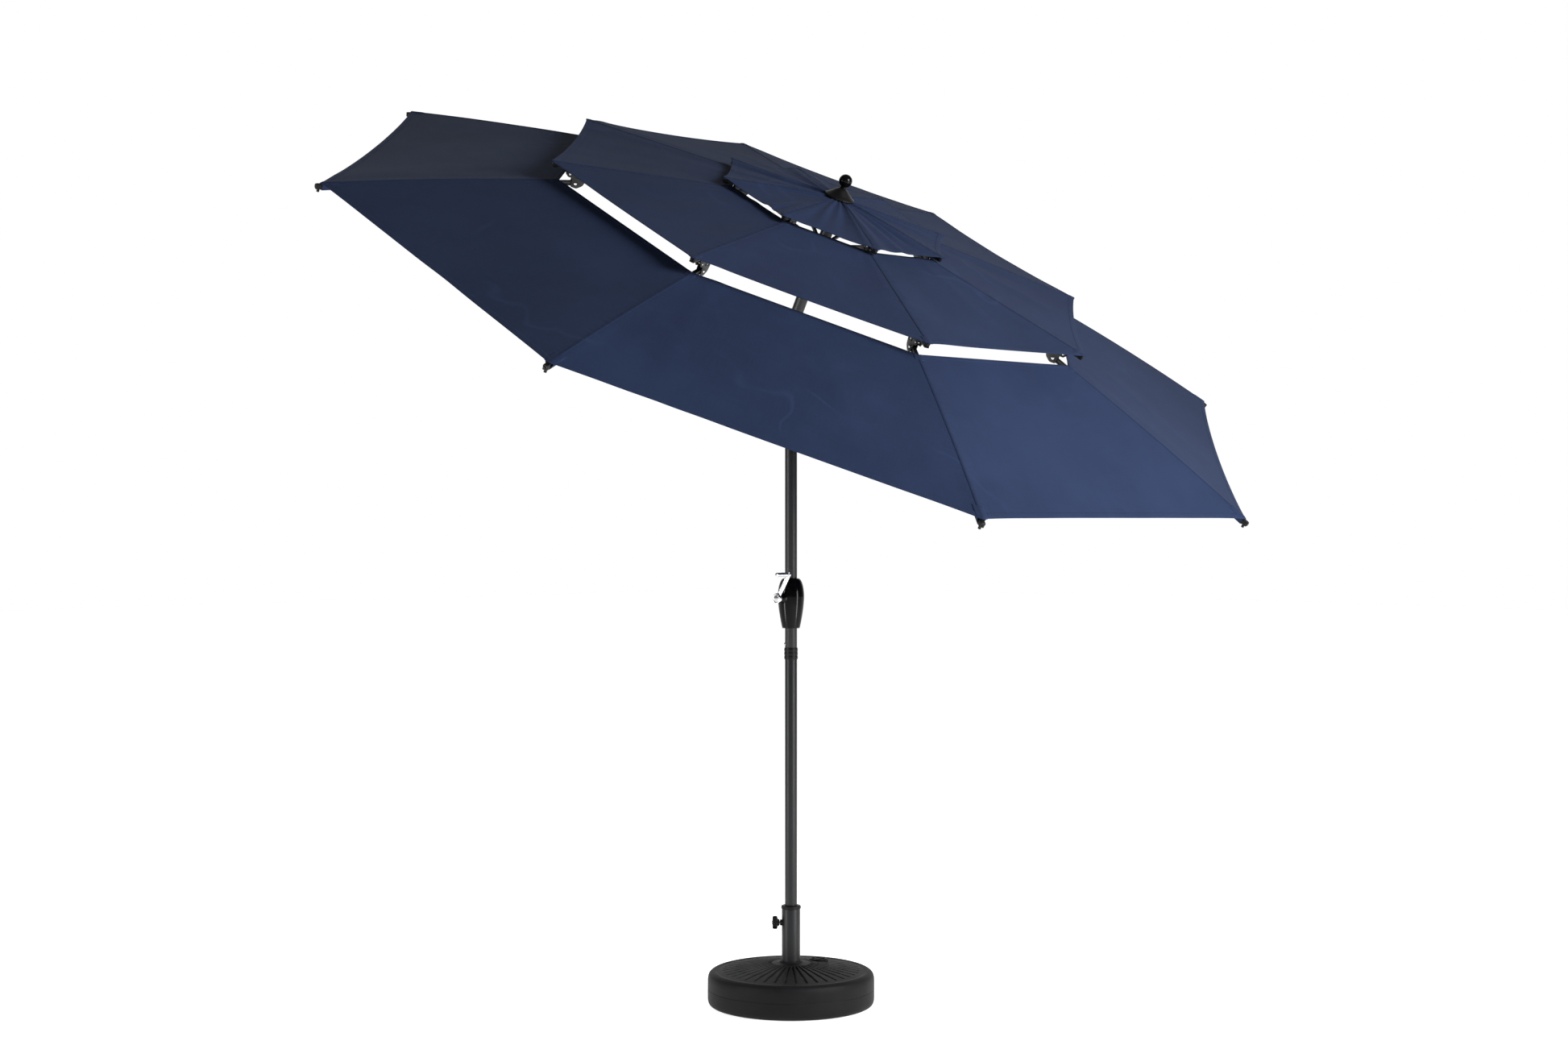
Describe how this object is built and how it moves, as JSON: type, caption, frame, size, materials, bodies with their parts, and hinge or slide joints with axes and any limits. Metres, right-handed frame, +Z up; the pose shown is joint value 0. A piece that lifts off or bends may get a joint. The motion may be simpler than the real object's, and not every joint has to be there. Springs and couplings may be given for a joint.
{
  "type": "patio umbrella with base",
  "caption": "Tilting three-tier market umbrella on a crank pole, with vents between its tiers and a round fillable ribbed base that clamps the pole.",
  "frame": {"origin": "centre of the base's underside, on the pole's axis", "axes": "+Z up along the pole; the canopy tilts towards -Y about an axis along X, and the crank points to -X"},
  "size_m": [2.8612, 2.5212, 2.8775],
  "materials": {
    "dark_steel": "satin",
    "tank_plastic": "matte",
    "black_plastic": "satin",
    "gloss_plastic": "gloss",
    "chrome": "polished",
    "bright_steel": "satin",
    "canopy_cloth": "matte",
    "sand": "matte"
  },
  "bodies": {
    "base": {"base_tank": "tank_plastic", "ballast": "sand", "base_sleeve": "dark_steel", "sleeve_collar": "black_plastic"},
    "cap": {"fill_cap": "black_plastic"},
    "knob": {"clamp_knob": "black_plastic"},
    "foot": {"pole_foot_plug": "black_plastic"},
    "pole": {"lower_pole": "dark_steel", "pole_ferrule": "black_plastic", "middle_pole": "dark_steel", "crank_housing_front": "gloss_plastic", "crank_housing_rear": "gloss_plastic", "tilt_knuckle_lower": "black_plastic", "tilt_pin": "bright_steel"},
    "snap": {"snap_button": "bright_steel"},
    "crank": {"crank_shaft": "chrome", "crank_arm": "chrome"},
    "grip": {"crank_grip": "chrome"},
    "release_button": {"tilt_button": "bright_steel"},
    "head": {"tilt_knuckle_upper": "black_plastic", "top_pole": "dark_steel", "top_hub": "black_plastic", "finial": "black_plastic", "canopy_top": "canopy_cloth", "canopy_middle": "canopy_cloth", "canopy_outer": "canopy_cloth"},
    "pulley": {"cord_pulley": "bright_steel"},
    "runner": {"runner": "black_plastic"},
    "rib_1": {"top_arm_1": "dark_steel", "middle_arm_1": "dark_steel", "outer_arm_1": "dark_steel"},
    "strut_1": {"strut_1": "dark_steel"},
    "rib_2": {"top_arm_2": "dark_steel", "middle_arm_2": "dark_steel", "outer_arm_2": "dark_steel"},
    "strut_2": {"strut_2": "dark_steel"},
    "rib_3": {"top_arm_3": "dark_steel", "middle_arm_3": "dark_steel", "outer_arm_3": "dark_steel"},
    "strut_3": {"strut_3": "dark_steel"},
    "rib_4": {"top_arm_4": "dark_steel", "middle_arm_4": "dark_steel", "outer_arm_4": "dark_steel"},
    "strut_4": {"strut_4": "dark_steel"},
    "rib_5": {"top_arm_5": "dark_steel", "middle_arm_5": "dark_steel", "outer_arm_5": "dark_steel"},
    "strut_5": {"strut_5": "dark_steel"},
    "rib_6": {"top_arm_6": "dark_steel", "middle_arm_6": "dark_steel", "outer_arm_6": "dark_steel"},
    "strut_6": {"strut_6": "dark_steel"},
    "rib_7": {"top_arm_7": "dark_steel", "middle_arm_7": "dark_steel", "outer_arm_7": "dark_steel"},
    "strut_7": {"strut_7": "dark_steel"},
    "rib_8": {"top_arm_8": "dark_steel", "middle_arm_8": "dark_steel", "outer_arm_8": "dark_steel"},
    "strut_8": {"strut_8": "dark_steel"}
  },
  "joints": [
    {"name": "cap_lift", "type": "slide", "parent": "base", "child": "cap", "axis": [0, 0, 1], "range_m": [0, 0.05]},
    {"name": "knob_turn", "type": "hinge", "parent": "base", "child": "knob", "pos_m": [0, 0, 0.257], "axis": [-0.7071, 0.7071, 0], "range_deg": [0, 1080]},
    {"name": "pole_lift", "type": "slide", "parent": "base", "child": "foot", "axis": [0, 0, 1], "range_m": [0, 0.29]},
    {"name": "pole_swivel", "type": "hinge", "parent": "foot", "child": "pole", "pos_m": [0, 0, 1], "axis": [0, 0, 1], "continuous": true},
    {"name": "snap_press", "type": "slide", "parent": "pole", "child": "snap", "axis": [0.866, -0.5, 0], "range_m": [0, 0.0035], "stiffness_N_per_m": 400, "springref_m": -0.003},
    {"name": "release_press", "type": "slide", "parent": "pole", "child": "release_button", "axis": [1, 0, 0], "range_m": [0, 0.004], "stiffness_N_per_m": 400, "springref_m": -0.003},
    {"name": "canopy_tilt", "type": "hinge", "parent": "pole", "child": "head", "pos_m": [0, 0, 2.12], "axis": [1, 0, 0], "range_deg": [-28.51, 0]},
    {"name": "runner_slide", "type": "slide", "parent": "head", "child": "runner", "axis": [0, 0.4772, -0.8788], "range_m": [0, 0.45675]},
    {"name": "pulley_turn", "type": "hinge", "parent": "head", "child": "pulley", "pos_m": [0, -0.18442, 2.45966], "axis": [1, 0, 0], "range_deg": [0, 2500]},
    {"name": "crank_turn", "type": "hinge", "parent": "pole", "child": "crank", "pos_m": [0, 0, 1.275], "axis": [-1, 0, 0], "range_deg": [0, 2160.5]},
    {"name": "grip_spin", "type": "hinge", "parent": "crank", "child": "grip", "pos_m": [-0.08, -0.04902, 1.35048], "axis": [-1, 0, 0], "continuous": true},
    {"name": "canopy_fold", "type": "hinge", "parent": "head", "child": "rib_1", "pos_m": [0.01607, -0.23832, 2.47762], "axis": [0.9239, 0.3363, 0.1826], "range_deg": [0, 72.5], "deforming": ["canopy_top", "canopy_middle", "canopy_outer"]},
    {"name": "strut_1_turn", "type": "hinge", "parent": "rib_1", "child": "strut_1", "pos_m": [0.12705, -0.44086, 2.28914], "axis": [0.9239, 0.3363, 0.1826], "range_deg": [-145.01, 0]},
    {"name": "rib_2_turn", "type": "hinge", "parent": "head", "child": "rib_2", "pos_m": [0.0388, -0.21835, 2.48846], "axis": [0.3827, 0.8119, 0.4408], "range_deg": [0, 72.51]},
    {"name": "strut_2_turn", "type": "hinge", "parent": "rib_2", "child": "strut_2", "pos_m": [0.30673, -0.28295, 2.37487], "axis": [0.3827, 0.8119, 0.4408], "range_deg": [-145.01, 0]},
    {"name": "rib_3_turn", "type": "hinge", "parent": "head", "child": "rib_3", "pos_m": [0.0388, -0.1901, 2.5038], "axis": [-0.3827, 0.8119, 0.4408], "range_deg": [0, 72.51]},
    {"name": "strut_3_turn", "type": "hinge", "parent": "rib_3", "child": "strut_3", "pos_m": [0.30673, -0.05965, 2.49612], "axis": [-0.3827, 0.8119, 0.4408], "range_deg": [-145.01, 0]},
    {"name": "rib_4_turn", "type": "hinge", "parent": "head", "child": "rib_4", "pos_m": [0.01607, -0.17012, 2.51465], "axis": [-0.9239, 0.3363, 0.1826], "range_deg": [0, 72.51]},
    {"name": "strut_4_turn", "type": "hinge", "parent": "rib_4", "child": "strut_4", "pos_m": [0.12705, 0.09826, 2.58185], "axis": [-0.9239, 0.3363, 0.1826], "range_deg": [-145.01, 0]},
    {"name": "rib_5_turn", "type": "hinge", "parent": "head", "child": "rib_5", "pos_m": [-0.01607, -0.17012, 2.51465], "axis": [-0.9239, -0.3363, -0.1826], "range_deg": [0, 72.51]},
    {"name": "strut_5_turn", "type": "hinge", "parent": "rib_5", "child": "strut_5", "pos_m": [-0.12705, 0.09826, 2.58185], "axis": [-0.9239, -0.3363, -0.1826], "range_deg": [-145.01, 0]},
    {"name": "rib_6_turn", "type": "hinge", "parent": "head", "child": "rib_6", "pos_m": [-0.0388, -0.1901, 2.5038], "axis": [-0.3827, -0.8119, -0.4408], "range_deg": [0, 72.51]},
    {"name": "strut_6_turn", "type": "hinge", "parent": "rib_6", "child": "strut_6", "pos_m": [-0.30673, -0.05965, 2.49612], "axis": [-0.3827, -0.8119, -0.4408], "range_deg": [-145.01, 0]},
    {"name": "rib_7_turn", "type": "hinge", "parent": "head", "child": "rib_7", "pos_m": [-0.0388, -0.21835, 2.48846], "axis": [0.3827, -0.8119, -0.4408], "range_deg": [0, 72.51]},
    {"name": "strut_7_turn", "type": "hinge", "parent": "rib_7", "child": "strut_7", "pos_m": [-0.30673, -0.28295, 2.37487], "axis": [0.3827, -0.8119, -0.4408], "range_deg": [-145.01, 0]},
    {"name": "rib_8_turn", "type": "hinge", "parent": "head", "child": "rib_8", "pos_m": [-0.01607, -0.23832, 2.47762], "axis": [0.9239, -0.3363, -0.1826], "range_deg": [0, 72.51]},
    {"name": "strut_8_turn", "type": "hinge", "parent": "rib_8", "child": "strut_8", "pos_m": [-0.12705, -0.44086, 2.28914], "axis": [0.9239, -0.3363, -0.1826], "range_deg": [-145.01, 0]}
  ],
  "couplings": [
    {"joint": "strut_1_turn", "follows": "canopy_fold", "ratio": -2},
    {"joint": "rib_2_turn", "follows": "canopy_fold", "ratio": 1},
    {"joint": "strut_2_turn", "follows": "canopy_fold", "ratio": -2},
    {"joint": "rib_3_turn", "follows": "canopy_fold", "ratio": 1},
    {"joint": "strut_3_turn", "follows": "canopy_fold", "ratio": -2},
    {"joint": "rib_4_turn", "follows": "canopy_fold", "ratio": 1},
    {"joint": "strut_4_turn", "follows": "canopy_fold", "ratio": -2},
    {"joint": "rib_5_turn", "follows": "canopy_fold", "ratio": 1},
    {"joint": "strut_5_turn", "follows": "canopy_fold", "ratio": -2},
    {"joint": "rib_6_turn", "follows": "canopy_fold", "ratio": 1},
    {"joint": "strut_6_turn", "follows": "canopy_fold", "ratio": -2},
    {"joint": "rib_7_turn", "follows": "canopy_fold", "ratio": 1},
    {"joint": "strut_7_turn", "follows": "canopy_fold", "ratio": -2},
    {"joint": "rib_8_turn", "follows": "canopy_fold", "ratio": 1},
    {"joint": "strut_8_turn", "follows": "canopy_fold", "ratio": -2},
    {"joint": "canopy_tilt", "follows": "canopy_fold", "ratio": -0.3931},
    {"joint": "runner_slide", "follows": "canopy_fold", "m_per_rad": 0.36089},
    {"joint": "crank_turn", "follows": "canopy_fold", "ratio": 29.793},
    {"joint": "pulley_turn", "follows": "canopy_fold", "ratio": 34}
  ]
}
